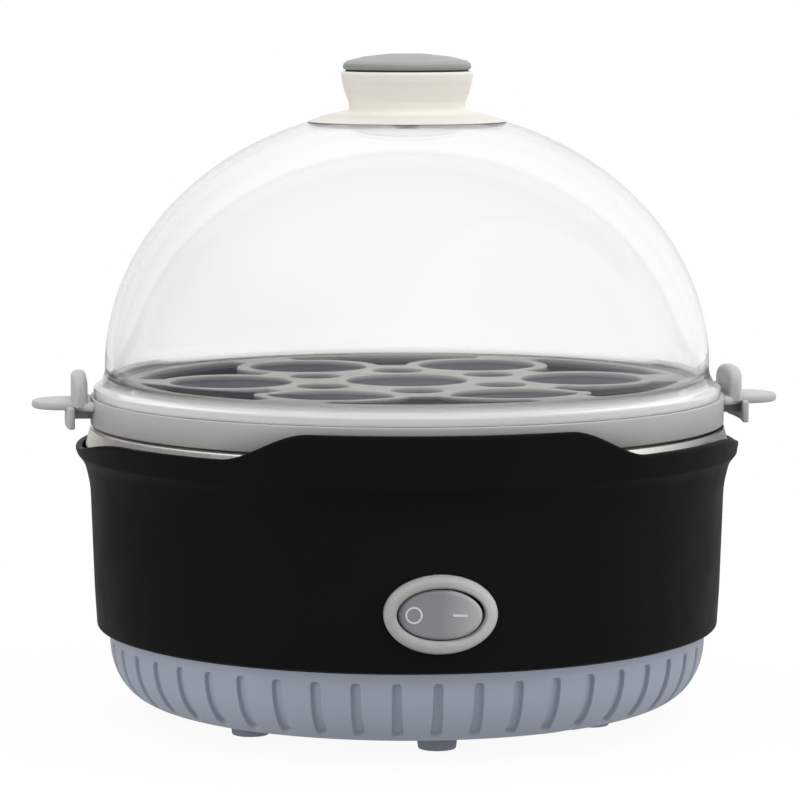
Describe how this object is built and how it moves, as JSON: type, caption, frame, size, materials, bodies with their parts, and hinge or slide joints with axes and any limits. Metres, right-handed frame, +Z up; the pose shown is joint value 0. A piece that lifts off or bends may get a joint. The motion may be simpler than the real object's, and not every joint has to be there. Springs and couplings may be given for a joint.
{
  "type": "egg cooker",
  "caption": "Round electric egg cooker with a black flared casing, ribbed grey base on short feet, lift-out egg tray with side tabs, clear dome lid with a knob and a front rocker switch.",
  "frame": {"origin": "middle of the plane that the feet rest on", "axes": "+Z up along the casing's middle, -Y towards the switch, +X and -X along the tray's two tabs"},
  "size_m": [0.1972, 0.1744, 0.1743],
  "materials": {
    "black_plastic": "satin moulded",
    "slate_plastic": "satin moulded",
    "foot_rubber": "matt",
    "grey_plastic": "satin moulded",
    "rocker_plastic": "semi-gloss moulded",
    "cream_plastic": "semi-gloss moulded",
    "cap_plastic": "satin moulded",
    "clear_plastic": "clear, polished",
    "steel": "spun and brushed",
    "aluminium": "as rolled",
    "brass": "stamped",
    "bakelite": "matt moulded",
    "silicone": "matt",
    "wire_sleeve": "woven glass sleeve"
  },
  "bodies": {
    "housing": {"outer_casing": "black_plastic", "base_pan": "slate_plastic", "foot_1": "foot_rubber", "foot_2": "foot_rubber", "foot_3": "foot_rubber", "foot_4": "foot_rubber", "foot_5": "foot_rubber", "foot_6": "foot_rubber", "switch_bezel": "grey_plastic", "terminal_block": "cream_plastic", "heating_bowl": "steel", "heating_element": "steel", "bowl_bracket": "steel", "bowl_stud": "steel", "bowl_nut": "steel", "bracket_screw_1": "steel", "bracket_screw_2": "steel", "base_screw_1": "steel", "base_screw_2": "steel", "base_screw_3": "steel", "heater_plate": "aluminium", "element_pin_1": "brass", "element_pin_2": "brass", "switch_tab_1": "brass", "switch_tab_2": "brass", "cord_gland": "bakelite", "thermostat": "bakelite", "switch_body": "bakelite", "bowl_gasket": "silicone", "thermal_fuse": "wire_sleeve", "wire_block_to_switch": "wire_sleeve", "wire_switch_to_element": "wire_sleeve", "wire_block_to_thermostat": "wire_sleeve"},
    "tray": {"egg_tray": "grey_plastic"},
    "lid": {"dome_lid": "clear_plastic", "knob_body": "cream_plastic", "knob_cap": "cap_plastic", "knob_screw": "cream_plastic", "knob_washer": "cream_plastic"},
    "rocker": {"switch_rocker": "rocker_plastic"}
  },
  "joints": [
    {"name": "tray_lift", "type": "slide", "parent": "housing", "child": "tray", "axis": [0, 0, 1], "range_m": [0, 0.07]},
    {"name": "lid_lift", "type": "slide", "parent": "tray", "child": "lid", "axis": [0, 0, 1], "range_m": [0, 0.09]},
    {"name": "rocker_tilt", "type": "hinge", "parent": "housing", "child": "rocker", "pos_m": [0, -0.082, 0.0393], "axis": [0, 0, 1], "range_deg": [0, 16]}
  ]
}
